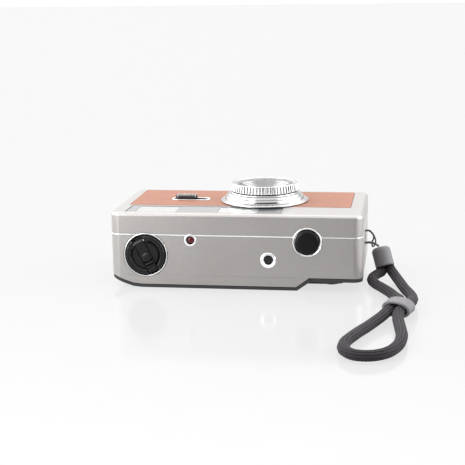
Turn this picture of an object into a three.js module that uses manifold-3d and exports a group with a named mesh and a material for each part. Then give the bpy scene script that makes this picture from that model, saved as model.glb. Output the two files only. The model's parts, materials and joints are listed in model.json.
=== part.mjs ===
// A reusable 35 mm half-frame camera with a wrist strap, lying on its back.
// Millimetres. +Z is the lens axis, -Y is the camera's top plate, +X is its shutter-button end.
// The origin is the middle of the back face, so the surface that the camera lies on is Z = 0.

import * as THREE from "three";
import { mergeVertices } from "three/addons/utils/BufferGeometryUtils.js";
import Module from "manifold-3d";

const wasm = await Module();
wasm.setup();

// ---- driving dimensions ----
const WIDTH = 116;
const HEIGHT = 62;
const DEPTH = 35;
const CORNER_R = 4.4;
const FRONT_EDGE_R = 1.6;
const WALL = 1.6;
const GAP = 0.3;
const COVER_SEAM_Z = 25.2;
const DOOR_SEAM_Z = 6;
const SKIN = 1.3;
const PLATE_Z = 33;

const LENS_X = 9.65;
const LENS_Y = 4;
const FILM_X = -41.5;
const FILM_Z = 15.4;
const FILM_R = 12.9;
const SPOOL_X = 43.6;
const SPOOL_Z = 12.6;
const SPOOL_ROOM_R = 9.9;
const WHEEL_R = 10.4;
const FILM_PLANE_Z = 6.3;
const CHASSIS_TOP_Y = -21;
const CHASSIS_BOTTOM_Y = 29.1;
const CHASSIS_FRONT_Z = 29.3;

const LED_X = -20.5;
const LED_Z = 22.6;
const COUNTER_X = 15.3;
const COUNTER_Z = 13.9;
const COUNTER_DIAL_Z = 20.2;
const BUTTON_X = 33.1;
const BUTTON_Z = 22.6;
const ROLLER_X = 26.3;
const ROLLER_Z = 11.6;
const LUG_X = 56.5;
const LUG_Z = 18.4;
const CELL_X = -20.5;
const CELL_Z = 15;
const SWITCH_Y = 4.5;
const SCREW_PLACES = [[-50, 21], [51, 21]];

// The winding train: a gear on the spool, an idler and a gear on the sprocket roller, in a straight line.
const GEAR_MODULE = 0.6;
const WIND_TEETH = 18;
const IDLER_TEETH = 12;
const ROLLER_TEETH = 15;
const GEAR_Y0 = -22.7;
const GEAR_Y1 = -21.4;
const TRAIN_ANGLE = Math.atan2(ROLLER_Z - SPOOL_Z, ROLLER_X - SPOOL_X);
const IDLER_STEP = (GEAR_MODULE * (WIND_TEETH + IDLER_TEETH)) / 2 + 0.13;
const IDLER_X = SPOOL_X + IDLER_STEP * Math.cos(TRAIN_ANGLE);
const IDLER_Z = SPOOL_Z + IDLER_STEP * Math.sin(TRAIN_ANGLE);

const LEVER_X = 28;
const LEVER_Y = -17.5;

const HALF_W = WIDTH / 2;
const HALF_H = HEIGHT / 2;
const INNER_W = HALF_W - WALL;
const INNER_H = HALF_H - WALL;
const TOP_Y = -HALF_H;
const FAR = 100;

// ---- solids ----
function solid(geometry) {
  const g = geometry.index ? geometry.clone() : geometry;
  g.deleteAttribute("normal");
  g.deleteAttribute("uv");
  const merged = mergeVertices(g, 1e-4);
  const triVerts = new Uint32Array(merged.index.array);
  const vertProperties = merged.attributes.position.array;
  const made = new wasm.Manifold(new wasm.Mesh({ numProp: 3, vertProperties, triVerts }));
  if (made.volume() > 0) return made;
  for (let i = 0; i < triVerts.length; i += 3) {
    [triVerts[i + 1], triVerts[i + 2]] = [triVerts[i + 2], triVerts[i + 1]];
  }
  return new wasm.Manifold(new wasm.Mesh({ numProp: 3, vertProperties, triVerts }));
}

const join = (first, ...others) => others.reduce((sum, s) => sum.add(s), first);
const cut = (first, ...others) => others.reduce((left, s) => left.subtract(s), first);

function box(x0, x1, y0, y1, z0, z1) {
  const g = new THREE.BoxGeometry(x1 - x0, y1 - y0, z1 - z0);
  return solid(g.translate((x0 + x1) / 2, (y0 + y1) / 2, (z0 + z1) / 2));
}

// A round bar along Z, Y or X.
function barZ(x, y, r, z0, z1, sides = 32) {
  const g = new THREE.CylinderGeometry(r, r, z1 - z0, sides).rotateX(Math.PI / 2);
  return solid(g.translate(x, y, (z0 + z1) / 2));
}

function barY(x, z, r, y0, y1, sides = 32) {
  const g = new THREE.CylinderGeometry(r, r, y1 - y0, sides);
  return solid(g.translate(x, (y0 + y1) / 2, z));
}

function barX(y, z, r, x0, x1, sides = 32) {
  const g = new THREE.CylinderGeometry(r, r, x1 - x0, sides).rotateZ(Math.PI / 2);
  return solid(g.translate((x0 + x1) / 2, y, z));
}

// A turned solid about an axis along Z or Y, from a profile of [radius, height] points.
function turnedZ(x, y, profile, sides = 48) {
  const points = profile.map(([r, h]) => new THREE.Vector2(r, h));
  const g = new THREE.LatheGeometry(points, sides).rotateX(Math.PI / 2);
  return solid(g.translate(x, y, 0));
}

function turnedY(x, z, profile, sides = 48) {
  const points = profile.map(([r, h]) => new THREE.Vector2(r, h));
  return solid(new THREE.LatheGeometry(points, sides).translate(x, 0, z));
}

// A closed ring profile for the turned solids.
const ring = (rIn, rOut, h0, h1) => [[rIn, h0], [rOut, h0], [rOut, h1], [rIn, h1], [rIn, h0]];

function roundedRect(x0, x1, y0, y1, r) {
  const s = new THREE.Shape();
  s.moveTo(x0 + r, y0);
  s.lineTo(x1 - r, y0).absarc(x1 - r, y0 + r, r, -Math.PI / 2, 0);
  s.lineTo(x1, y1 - r).absarc(x1 - r, y1 - r, r, 0, Math.PI / 2);
  s.lineTo(x0 + r, y1).absarc(x0 + r, y1 - r, r, Math.PI / 2, Math.PI);
  s.lineTo(x0, y0 + r).absarc(x0 + r, y0 + r, r, Math.PI, 1.5 * Math.PI);
  return s;
}

const outline = (points) => new THREE.Shape(points.map(([a, b]) => new THREE.Vector2(a, b)));

function prismZ(shape, z0, z1, curveSegments = 6) {
  const g = new THREE.ExtrudeGeometry(shape, { depth: z1 - z0, bevelEnabled: false, curveSegments });
  return solid(g.translate(0, 0, z0));
}

// An outline of [x, z] points drawn out along Y.
function prismY(shape, y0, y1, curveSegments = 6) {
  const g = new THREE.ExtrudeGeometry(shape, { depth: y1 - y0, bevelEnabled: false, curveSegments });
  return solid(g.rotateX(Math.PI / 2).translate(0, y1, 0));
}

const slotZ = (x0, x1, y, half, z0, z1) =>
  prismZ(roundedRect(x0, x1, y - half, y + half, half - 0.01), z0, z1, 5);

// ---- scene graph ----
const camera = new THREE.Group();

const FINISHES = {
  silver: { color: 0xb9b6b3, roughness: 0.38, metalness: 0.6 },
  bright: { color: 0xe2e3e6, roughness: 0.22, metalness: 0.9 },
  steel: { color: 0xa9abae, roughness: 0.3, metalness: 1 },
  spring: { color: 0x8f9296, roughness: 0.35, metalness: 1 },
  brass: { color: 0xb08d4a, roughness: 0.35, metalness: 1 },
  black: { color: 0x1b1b1d, roughness: 0.45, metalness: 0 },
  inside: { color: 0x141414, roughness: 0.8, metalness: 0 },
  tan: { color: 0xc08a6c, roughness: 0.75, metalness: 0 },
  glass: { color: 0xdfe6ea, roughness: 0.05, metalness: 0 },
  frosted: { color: 0xf2f2ee, roughness: 0.5, metalness: 0 },
  red: { color: 0x8a1f22, roughness: 0.25, metalness: 0 },
  white: { color: 0xe9e9e6, roughness: 0.6, metalness: 0 },
  green: { color: 0x2c6b3c, roughness: 0.6, metalness: 0 },
  cell: { color: 0xc9a24a, roughness: 0.4, metalness: 0.5 },
  cord: { color: 0x443f40, roughness: 0.9, metalness: 0 },
  ferrule: { color: 0x6e6d70, roughness: 0.55, metalness: 0 },
};

function piece(name, made, finish, parent = camera) {
  const m = made.getMesh();
  const g = new THREE.BufferGeometry();
  g.setAttribute("position", new THREE.BufferAttribute(new Float32Array(m.vertProperties), 3));
  g.setIndex(new THREE.BufferAttribute(new Uint32Array(m.triVerts), 1));
  g.computeVertexNormals();
  const mesh = new THREE.Mesh(g, new THREE.MeshStandardMaterial(FINISHES[finish]));
  mesh.name = name;
  parent.add(mesh);
  return mesh;
}

// ---- shared shapes of the casing ----
const BODY_OUTLINE = roundedRect(-HALF_W, HALF_W, -HALF_H, HALF_H, CORNER_R);
const INNER_OUTLINE = roundedRect(-INNER_W, INNER_W, -INNER_H, INNER_H, CORNER_R - WALL);

// The back's cross-section: flat in the middle, rising towards both ends.
const BACK_FLAT = 43.6;
const END_RISE = 4.2;
const END_X = 57.4;
const backLine = (up) => [
  [-END_X, END_RISE + up],
  [-52, 1.85 + up],
  [-47.6, 0.4 + up],
  [-BACK_FLAT, up],
  [BACK_FLAT, up],
  [47.6, 0.4 + up],
  [52, 1.85 + up],
  [END_X, END_RISE + up],
];
const backBand = (up, top) => outline([...backLine(up), [HALF_W, top], [-HALF_W, top]]);

// The thumb recess at the top right corner of the back.
const RECESS_Y = -18;
const RECESS_X = 28.4;
const RECESS_DEPTH = 4.3;
const RECESS_ANGLE = THREE.MathUtils.degToRad(35.2);
const RECESS_INNER_Y = RECESS_Y + GAP + 1;
// A line parallel to the recess's slanted end, that far inside its outer surface.
const slantX = (z, inside) => RECESS_X + z / Math.tan(RECESS_ANGLE) - inside / Math.sin(RECESS_ANGLE);

const HINGE_X = 56.2;
const HINGE_Z = 5;
const HINGE_R = 1.45;
const HINGE_Y0 = -13.7;
const HINGE_Y1 = 25.7;
const EYE_X = 0.4;
const EYE_Y = -20.4;

// The holes of the top plate's controls, which the seam between cover and housing crosses.
const topHoles = () => [
  barY(FILM_X, FILM_Z, 10.4, -FAR, -20, 40),
  barY(LED_X, LED_Z, 2.75, -FAR, 0, 20),
  barY(COUNTER_X, COUNTER_Z, 3.5, -FAR, 0, 24),
  barY(BUTTON_X, BUTTON_Z, 6.9, -FAR, 0, 32),
];

// ---- casing ----
function frontCover() {
  const g = new THREE.ExtrudeGeometry(
    roundedRect(
      -HALF_W + FRONT_EDGE_R,
      HALF_W - FRONT_EDGE_R,
      -HALF_H + FRONT_EDGE_R,
      HALF_H - FRONT_EDGE_R,
      CORNER_R - FRONT_EDGE_R,
    ),
    {
      depth: DEPTH - FRONT_EDGE_R,
      bevelThickness: FRONT_EDGE_R,
      bevelSize: FRONT_EDGE_R,
      bevelSegments: 3,
      curveSegments: 6,
    },
  );
  const inside = prismZ(INNER_OUTLINE, 0, PLATE_Z);
  const shell = cut(
    solid(g),
    box(-FAR, FAR, -FAR, FAR, -FAR, COVER_SEAM_Z + GAP / 2),
    inside,
    ...topHoles(),
    box(-51.4, 20.6, -27.9, -12.9, 33.7, FAR),
    box(-45.6, -29.5, -25.6, -15.2, 0, FAR),
    box(-7.4, 8.2, -25.6, -15.2, 0, FAR),
    prismZ(roundedRect(-53.1, 51.7, -11.5, 27.8, 1.2), 34.5, FAR, 2),
    barZ(LENS_X, LENS_Y, 17.4, 0, FAR, 40),
    slotZ(-35, -17.3, SWITCH_Y, 2.5, 0, FAR),
  );
  const leverPost = barZ(LEVER_X, LEVER_Y, 0.7, 21.4, PLATE_Z + 0.5, 12);
  return join(shell, leverPost);
}

// The strap's thread goes round a bar moulded across a pocket in the end wall.
function mainHousing() {
  const shell = cut(
    prismZ(BODY_OUTLINE, DOOR_SEAM_Z + GAP / 2, COVER_SEAM_Z - GAP / 2),
    prismZ(INNER_OUTLINE, 0, FAR),
  );
  const ears = join(
    box(HINGE_X - 1.6, 57.7, -17.6, HINGE_Y0 - GAP, 3.6, 8),
    box(HINGE_X - 1.6, 57.7, HINGE_Y1 + GAP, 29.3, 3.6, 8),
    box(53.5, 57, -6, 6, 11.6, 24.4),
  );
  const battery = box(-27.3, -13.7, INNER_H - 1, FAR, 8.6, 21.4);
  const openShell = cut(
    join(shell, ears).intersect(prismZ(BODY_OUTLINE, 0, FAR)),
    ...topHoles(),
    barY(HINGE_X, HINGE_Z, HINGE_R + GAP + 0.05, HINGE_Y0 - GAP, HINGE_Y1 + GAP, 24),
    barY(HINGE_X, HINGE_Z, 0.85, -17, 28.6, 16),
    box(54.1, FAR, -2.6, 2.6, 14.2, 22.6),
    battery,
    box(-FAR, -INNER_W + 1, -5.3, 5.3, 9.7, 16.3),
    barY(ROLLER_X, ROLLER_Z, 2.3, 0, FAR, 20),
    ...SCREW_PLACES.map(([x, z]) => join(barY(x, z, 1.9, 30.2, FAR, 16), barY(x, z, 0.9, 28, FAR, 12))),
  );
  return join(openShell, barY(LUG_X, LUG_Z, 0.65, -3, 3, 12));
}

function backDoor() {
  const band = prismY(backBand(SKIN + GAP, DOOR_SEAM_Z - GAP / 2), -HALF_H, HALF_H);
  const hollow = prismY(
    outline([
      [-INNER_W, 9],
      [-INNER_W, END_RISE + SKIN + 0.6],
      [-52, 4.25],
      [-BACK_FLAT - 3, 2.9],
      [-BACK_FLAT + 2, 2.4],
      [BACK_FLAT - 2, 2.4],
      [BACK_FLAT + 3, 2.9],
      [52, 4.25],
      [54.6, 9],
    ]),
    -INNER_H,
    INNER_H,
  );
  const barrel = barY(HINGE_X, HINGE_Z, HINGE_R, HINGE_Y0, HINGE_Y1, 24);
  const rim = cut(
    band.intersect(prismZ(BODY_OUTLINE, -FAR, FAR)),
    hollow,
    prismY(
      outline([
        [slantX(-2, SKIN + GAP), -2],
        [FAR, -2],
        [FAR, 9],
        [slantX(9, SKIN + GAP), 9],
      ]),
      -FAR,
      RECESS_INNER_Y + GAP,
    ),
    topHoles()[0],
    box(HINGE_X - 0.6, FAR, -FAR, FAR, -FAR, FAR),
    box(53.9, FAR, -FAR, HINGE_Y0 - GAP, -FAR, FAR),
    box(53.9, FAR, HINGE_Y1 + GAP, FAR, -FAR, FAR),
    box(EYE_X - 6.4, EYE_X + 6.4, EYE_Y - 5.1, EYE_Y + 5.1, -FAR, FAR),
  );
  return cut(join(rim, barrel), barY(HINGE_X, HINGE_Z, 0.85, -FAR, FAR, 16));
}

function backSkin() {
  const band = prismY(
    outline([...backLine(0), ...backLine(SKIN).reverse()]),
    -HALF_H,
    HALF_H,
  );
  const slantEnd = slantX(RECESS_DEPTH, 0);
  const slant = prismY(
    outline([
      [RECESS_X - 2, 0],
      [RECESS_X, 0],
      [slantEnd, RECESS_DEPTH],
      [slantEnd, RECESS_DEPTH + SKIN],
      [slantX(RECESS_DEPTH + SKIN, SKIN), RECESS_DEPTH + SKIN],
      [slantX(SKIN, SKIN), SKIN],
      [RECESS_X - 2, SKIN],
    ]),
    -HALF_H,
    RECESS_INNER_Y,
  );
  const inner = prismY(
    outline([
      [slantX(0.3, SKIN), 0.3],
      [53.4, 0.3],
      [53.4, 4.1],
      [slantX(4.1, SKIN), 4.1],
    ]),
    RECESS_Y + GAP,
    RECESS_INNER_Y,
  );
  const flat = cut(
    band,
    prismY(outline([[RECESS_X - 1, -2], [FAR, -2], [FAR, 9], [RECESS_X - 1, 9]]), -FAR, RECESS_Y + GAP),
    box(HINGE_X - 1.8, FAR, -FAR, FAR, -FAR, FAR),
    box(53.9, FAR, -FAR, HINGE_Y0 - GAP, -FAR, FAR),
    box(53.9, FAR, HINGE_Y1 + GAP, FAR, -FAR, FAR),
  );
  return cut(
    join(flat, slant, inner.intersect(prismY(backBand(0, 9), -FAR, FAR))),
    box(EYE_X - 6.4, EYE_X + 6.4, EYE_Y - 5.1, EYE_Y + 5.1, -FAR, FAR),
  ).intersect(prismZ(BODY_OUTLINE, -FAR, FAR));
}

function rearDeck() {
  const plate = box(slantX(RECESS_DEPTH, 0) + GAP, HALF_W, TOP_Y, RECESS_Y, RECESS_DEPTH, 5.75);
  return cut(
    plate.intersect(prismZ(BODY_OUTLINE, -FAR, FAR)),
    box(35.5, 51.7, -27.7, -23.1, 0, 9),
    box(HINGE_X - 2, FAR, -17.9, FAR, 0, 9),
  );
}

function chassis() {
  const block = box(-56.1, 54.3, CHASSIS_TOP_Y, CHASSIS_BOTTOM_Y, FILM_PLANE_Z, CHASSIS_FRONT_Z);
  const filmRoom = join(
    barY(FILM_X, FILM_Z, FILM_R, -19.8, 28, 40),
    box(FILM_X - FILM_R, FILM_X + FILM_R, -19.8, 28, 0, FILM_Z),
  );
  const spoolRoom = join(
    barY(SPOOL_X, SPOOL_Z, SPOOL_ROOM_R, -19.8, 28, 36),
    box(SPOOL_X - SPOOL_ROOM_R, SPOOL_X + SPOOL_ROOM_R, -19.8, 28, 0, SPOOL_Z),
  );
  const electricsRoom = box(-27.3, -2.2, -14.8, FAR, 8, FAR);
  const rollerRoom = box(20.9, 32.4, -14.6, 27.2, 8, FAR);
  const frame = cut(
    block.intersect(prismZ(roundedRect(-56.1, 56.1, -29.1, 29.1, 2.5), 0, FAR)),
    filmRoom,
    spoolRoom,
    electricsRoom,
    rollerRoom,
    box(-27.3, 20.6, -FAR, -14.2, 0, FAR),
    box(20.5, 33.4, -FAR, -14.2, 19, FAR),
    box(33, 37.4, -FAR, -18.2, 21.6, 23.6),
    box(20.9, 31.8, -13.9, 24.2, 0, FAR),
    box(LENS_X - 9, LENS_X + 9, LENS_Y - 12, LENS_Y + 12, 0, FAR),
    box(LENS_X - 13, LENS_X + 13, LENS_Y - 14, LENS_Y + 14, 27.6, FAR),
    box(-FAR, -27, CHASSIS_TOP_Y - 1, -14.2, 28.6, FAR),
    barY(FILM_X, FILM_Z, 2.6, -FAR, 0, 20),
    barY(SPOOL_X, SPOOL_Z, 1.6, -FAR, FAR, 16),
    ...SCREW_PLACES.map(([x, z]) => barY(x, z, 0.9, 28.1, FAR, 12)),
    barY(ROLLER_X, ROLLER_Z, 1.4, -FAR, FAR, 16),
    barY(ROLLER_X, ROLLER_Z, 2.3, 28, FAR, 20),
    box(53.2, FAR, -6.3, 6.3, 11.3, 24.7),
  );
  return join(
    frame,
    barY(COUNTER_X, COUNTER_DIAL_Z, 0.6, -28.7, -13, 12),
    barY(IDLER_X, IDLER_Z, 0.6, -23, -20, 10),
  );
}

function leatherette() {
  return cut(
    prismZ(roundedRect(-52.9, 51.5, -11.3, 27.6, 1), 34.75, 35.1, 2),
    barZ(LENS_X, LENS_Y, 17.7, 0, FAR, 40),
    slotZ(-35.9, -16.4, SWITCH_Y, 3.4, 0, FAR),
  );
}

function windowStrip() {
  return cut(
    box(-51.1, 20.3, -27.6, -13.2, 34, 34.85),
    box(-46.9, -28.2, -26.6, -14.2, 0, FAR),
    box(-8.7, 9.5, -26.6, -14.2, 0, FAR),
    barZ(LENS_X, LENS_Y, 18, 0, FAR, 40),
  );
}

function windowPane(x0, x1) {
  return box(x0 + GAP, x1 - GAP, -26.3, -14.5, 34, 34.75).subtract(
    barZ(LENS_X, LENS_Y, 18, 0, FAR, 64),
  );
}

piece("front_cover", frontCover(), "silver");
piece("main_housing", mainHousing(), "silver");
piece("chassis", chassis(), "inside");
piece("leatherette", leatherette(), "tan");
piece("window_strip", windowStrip(), "glass");
piece("flash_window", windowPane(-46.9, -28.2), "frosted");
piece("viewfinder_window", windowPane(-8.7, 9.5), "glass");
piece("rear_deck", rearDeck(), "black");
piece("back_door", backDoor(), "silver");
piece("back_skin", backSkin(), "black");
piece("hinge_pin", barY(HINGE_X, HINGE_Z, 0.55, -16.8, 28.4, 12), "steel");

// ---- viewfinder ----
function viewfinderTunnel() {
  const taper = (front, rear, z0, z1) => {
    const g = new THREE.CylinderGeometry(1, rear / front, 1, 4, 1).rotateY(Math.PI / 4);
    g.scale(front * Math.SQRT1_2, z1 - z0, front * Math.SQRT1_2).rotateX(Math.PI / 2);
    return solid(g.scale(1, 0.66, 1).translate(EYE_X, EYE_Y, (z0 + z1) / 2));
  };
  return cut(
    taper(17, 11.6, 3, 32.4),
    taper(15, 9.4, 2.5, 32.9),
  );
}
piece("viewfinder_tunnel", viewfinderTunnel(), "inside");
piece("eyepiece", prismZ(roundedRect(EYE_X - 5.4, EYE_X + 5.4, EYE_Y - 3.9, EYE_Y + 3.9, 1), 1.5, 2.7, 3), "glass");

// ---- lens and shutter ----
const LENS_FLANGE_R = 20.9;
const GRIP_R = 16.15;
const RIM_R = 15.24;

const flangeProfile = [
  [13.4, 31],
  [16.9, 31],
  [16.9, 35.3],
  [LENS_FLANGE_R, 35.3],
  [LENS_FLANGE_R, 35.9],
  [18.9, 36.7],
  [18.5, 37.9],
  [17.2, 39.4],
  [13.4, 40.1],
  [13.4, 31],
];
const gripProfile = [
  [13.6, 40.4],
  [GRIP_R, 40.4],
  [GRIP_R, 40.7],
  [RIM_R + 0.4, 43.8],
  [RIM_R, 44.1],
  [14.6, 44.1],
  [14.3, 43.2],
  [13.6, 43.2],
  [13.6, 40.4],
];
const frontRingProfile = [
  [5.2, 37.2],
  [13.1, 37.2],
  [13.1, 42.6],
  [12.4, 42.6],
  [10.3, 41.3],
  [8.3, 40.2],
  [5.8, 39.2],
  [5.2, 37.2],
];
piece("lens_flange", turnedZ(LENS_X, LENS_Y, flangeProfile, 48), "bright");
piece("lens_grip_ring", turnedZ(LENS_X, LENS_Y, gripProfile, 48), "bright");
piece("lens_front_ring", turnedZ(LENS_X, LENS_Y, frontRingProfile, 36), "bright");

const frontElement = [[0, 35.9], [4.9, 36.4], [4.9, 37.6], [3.6, 38.3], [1.9, 38.7], [0, 38.85]];
const rearElement = [[0, 32.9], [2.2, 33.1], [3.7, 33.6], [3.7, 34.6], [0, 34.6]];
const barrelProfile = [
  [4, 31.2],
  [12.9, 31.2],
  [12.9, 36.9],
  [5.3, 36.9],
  [5.3, 35.6],
  [1.1, 35.6],
  [1.1, 35],
  [4, 35],
  [4, 31.2],
];
piece("front_lens_element", turnedZ(LENS_X, LENS_Y, frontElement, 32), "glass");
piece("rear_lens_element", turnedZ(LENS_X, LENS_Y, rearElement, 32), "glass");
piece("lens_barrel", turnedZ(LENS_X, LENS_Y, barrelProfile, 28), "inside");

const BLADE_X = LENS_X + 9.4;
const BLADE_Y = LENS_Y - 6;
function shutterPlate() {
  const plate = prismZ(roundedRect(LENS_X - 12.7, LENS_X + 12.7, LENS_Y - 13.7, LENS_Y + 13.7, 1), 29, 29.8, 3);
  const pin = barZ(BLADE_X, BLADE_Y, 0.55, 27.9, 29.5, 12);
  return join(cut(plate, barZ(LENS_X, LENS_Y, 2.6, 0, FAR, 24)), pin);
}
function shutterBlade() {
  const arm = prismZ(
    outline([
      [LENS_X - 3.6, LENS_Y - 2.2],
      [LENS_X - 1.8, LENS_Y - 4],
      [LENS_X + 2.6, LENS_Y - 4.2],
      [BLADE_X, BLADE_Y - 1.7],
      [BLADE_X + 1.7, BLADE_Y],
      [BLADE_X, BLADE_Y + 1.7],
      [LENS_X + 4, LENS_Y + 2.8],
      [LENS_X + 1.4, LENS_Y + 4],
      [LENS_X - 2.4, LENS_Y + 3.4],
      [LENS_X - 3.8, LENS_Y + 1.2],
    ]),
    28.2,
    28.7,
  );
  return arm.subtract(barZ(BLADE_X, BLADE_Y, 0.85, 0, FAR, 12));
}
piece("shutter_plate", shutterPlate(), "steel");
piece("shutter_blade", shutterBlade(), "steel");

// ---- top controls ----
const CRANK_ANGLE = 63.4;
const rewind = new THREE.Group();
rewind.position.set(FILM_X, 0, FILM_Z);
rewind.rotation.y = THREE.MathUtils.degToRad(CRANK_ANGLE);
camera.add(rewind);

const CRANK_HINGE_X = -6.5;
const CRANK_HINGE_Y = -31.4;
const CRANK_HALF = 2.35;
function rewindKnob() {
  const knob = turnedY(0, 0, [[0, -32], [8.9, -32], [9.35, -31.6], [9.35, -28.6], [0, -28.6]], 36);
  return cut(
    knob,
    box(-FAR, FAR, -FAR, -29.7, -CRANK_HALF - GAP, CRANK_HALF + GAP),
    barZ(CRANK_HINGE_X, CRANK_HINGE_Y, 0.75, -4.4, 4.4, 12),
    barY(0, 0, 1.7, -FAR, FAR, 16),
  );
}
function rewindCrank() {
  const arm = box(-7.5, 8.3, -31.9, -30.3, -CRANK_HALF, CRANK_HALF);
  const ribs = [4, 5.4, 6.8].map((x) => box(x - 0.35, x + 0.35, -32.4, -31.5, -1.7, 1.7));
  return cut(join(arm, ...ribs), barZ(CRANK_HINGE_X, CRANK_HINGE_Y, 0.7, -FAR, FAR, 12));
}
function rewindShaft() {
  const shaft = join(barY(0, 0, 2.2, -28.3, -14.6, 16), barY(0, 0, 1.35, -29.5, -28, 16));
  return cut(shaft, box(-0.7, 0.7, -17.4, 0, -FAR, FAR));
}
piece("rewind_bezel", turnedY(FILM_X, FILM_Z, ring(9.65, 10.1, -31.15, -29.5), 36), "bright");
piece("rewind_knob", rewindKnob(), "black", rewind);
piece("rewind_crank", rewindCrank(), "black", rewind);
piece("crank_pin", barZ(CRANK_HINGE_X, CRANK_HINGE_Y, 0.45, -4.1, 4.1, 10), "steel", rewind);
piece("rewind_shaft", rewindShaft(), "steel", rewind);
piece("rewind_collar", turnedY(FILM_X, FILM_Z, ring(2.5, 5.5, -28.2, -27.2), 24), "brass");

piece("led_ring", turnedY(LED_X, LED_Z, ring(1.95, 2.45, -31.2, -29.5), 24), "bright");
piece("led_lens", turnedY(LED_X, LED_Z, [[0, -31], [1.1, -30.8], [1.6, -30.2], [1.6, -27.5], [0, -27.5]], 20), "red");

const counterRing = [[2.1, -30.1], [3.2, -31.2], [3.2, -29.3], [2.1, -29.3], [2.1, -30.1]];
piece("counter_ring", turnedY(COUNTER_X, COUNTER_Z, counterRing, 28), "bright");
piece("counter_window", barY(COUNTER_X, COUNTER_Z, 1.8, -30, -29, 20), "glass");
piece("counter_dial", turnedY(COUNTER_X, COUNTER_DIAL_Z, ring(0.9, 8.4, -28.3, -27.5), 28), "white");

const buttonRing = [
  [1.5, -27.4],
  [6.55, -27.4],
  [6.55, -31.3],
  [6, -31.3],
  [6, -28.1],
  [1.5, -28.1],
  [1.5, -27.4],
];
const buttonCap = [
  [0, -32.7],
  [4.4, -32.3],
  [5.6, -31.2],
  [5.6, -30.3],
  [4.5, -30.3],
  [4.5, -31],
  [1.05, -31],
  [1.05, -25.6],
  [0, -25.6],
];
class CoilY extends THREE.Curve {
  constructor(x, z, r, y0, y1, turns) {
    super();
    Object.assign(this, { x, z, r, y0, y1, turns });
  }
  getPoint(t, target = new THREE.Vector3()) {
    const a = 2 * Math.PI * this.turns * t;
    const y = this.y0 + (this.y1 - this.y0) * t;
    return target.set(this.x + this.r * Math.cos(a), y, this.z + this.r * Math.sin(a));
  }
}
function wire(curve, r, steps, sides = 6) {
  const section = new THREE.Shape();
  for (let i = 0; i < sides; i++) {
    const a = (2 * Math.PI * i) / sides;
    if (i) section.lineTo(r * Math.cos(a), r * Math.sin(a));
    else section.moveTo(r, 0);
  }
  return solid(new THREE.ExtrudeGeometry(section, { steps, extrudePath: curve, bevelEnabled: false }));
}
piece("shutter_button_ring", turnedY(BUTTON_X, BUTTON_Z, buttonRing, 32), "bright");
piece("shutter_button", turnedY(BUTTON_X, BUTTON_Z, buttonCap, 32), "black");

function releaseLever() {
  const plate = prismZ(
    outline([
      [LEVER_X - 1.8, LEVER_Y - 0.6],
      [LEVER_X - 0.6, LEVER_Y - 2],
      [LEVER_X + 6.4, LEVER_Y - 7.6],
      [LEVER_X + 7, LEVER_Y - 6],
      [LEVER_X + 2, LEVER_Y - 0.2],
      [LEVER_X + 1.2, LEVER_Y + 1.8],
      [LEVER_X - 3.6, LEVER_Y + 9],
      [LEVER_X - 5, LEVER_Y + 8.4],
    ]),
    22,
    23.2,
  );
  const tab = box(LEVER_X - 4.7, LEVER_X - 3.7, LEVER_Y + 7.6, LEVER_Y + 8.6, 22.5, 27);
  return cut(join(plate, tab), barZ(LEVER_X, LEVER_Y, 1, 0, FAR, 12));
}
piece("release_lever", releaseLever(), "steel");

// ---- film transport ----
function gear(x, z, teeth, phase, bore, y0, y1) {
  const pitch = (GEAR_MODULE * teeth) / 2;
  const shape = new THREE.Shape();
  const steps = [[-0.3, -0.72], [-0.15, 0.48], [0.15, 0.48], [0.3, -0.72]];
  for (let i = 0; i < teeth; i++) {
    for (const [along, rise] of steps) {
      const a = phase + (2 * Math.PI * (i + along * 0.8)) / teeth;
      const px = x + (pitch + rise) * Math.cos(a);
      const pz = z + (pitch + rise) * Math.sin(a);
      if (i || along > -0.3) shape.lineTo(px, pz);
      else shape.moveTo(px, pz);
    }
  }
  return cut(prismY(shape, y0, y1), barY(x, z, bore, -FAR, FAR, 16));
}
const IDLER_PHASE = TRAIN_ANGLE + Math.PI + Math.PI / IDLER_TEETH;
piece("wind_gear", gear(SPOOL_X, SPOOL_Z, WIND_TEETH, TRAIN_ANGLE, 1.3, GEAR_Y0, GEAR_Y1), "brass");
piece("idler_gear", gear(IDLER_X, IDLER_Z, IDLER_TEETH, IDLER_PHASE, 0.9, GEAR_Y0, GEAR_Y1), "brass");

function takeUpSpool() {
  const spool = join(
    barY(SPOOL_X, SPOOL_Z, 4.8, -19.4, 27.6, 28),
    barY(SPOOL_X, SPOOL_Z, 6.6, -19.4, -18.4, 28),
    barY(SPOOL_X, SPOOL_Z, 1, -28, 28.6, 12),
  );
  return cut(spool, box(SPOOL_X - 0.7, SPOOL_X + 0.7, -4, 12, SPOOL_Z + 1.4, FAR));
}
function sprocketRoller() {
  const drum = barY(ROLLER_X, ROLLER_Z, 4, -13.2, 21.6, 24);
  const stem = barY(ROLLER_X, ROLLER_Z, 1, -23, -13, 12);
  const wheel = gear(ROLLER_X, ROLLER_Z, ROLLER_TEETH, TRAIN_ANGLE + Math.PI, 0.5, GEAR_Y0, GEAR_Y1);
  const star = (y) => {
    const shape = new THREE.Shape();
    const teeth = 8;
    for (let i = 0; i < teeth; i++) {
      for (const [along, r] of [[-0.5, 4.5], [-0.09, 5.1], [0.09, 5.1]]) {
        const a = (2 * Math.PI * (i + along)) / teeth;
        const point = [ROLLER_X + r * Math.cos(a), ROLLER_Z + r * Math.sin(a)];
        if (i || along > -0.5) shape.lineTo(...point);
        else shape.moveTo(...point);
      }
    }
    return prismY(shape, y - 1.2, y + 1.2);
  };
  return cut(
    join(drum, wheel, stem, star(LENS_Y - 14.2), star(LENS_Y + 14.2)),
    barY(ROLLER_X, ROLLER_Z, 1.3, 17, FAR, 14),
  );
}
piece("take_up_spool", takeUpSpool(), "black");
piece("thumb_wheel", turnedY(SPOOL_X, SPOOL_Z, ring(1.3, WHEEL_R, -27.2, -23.6), 40), "black");
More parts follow.
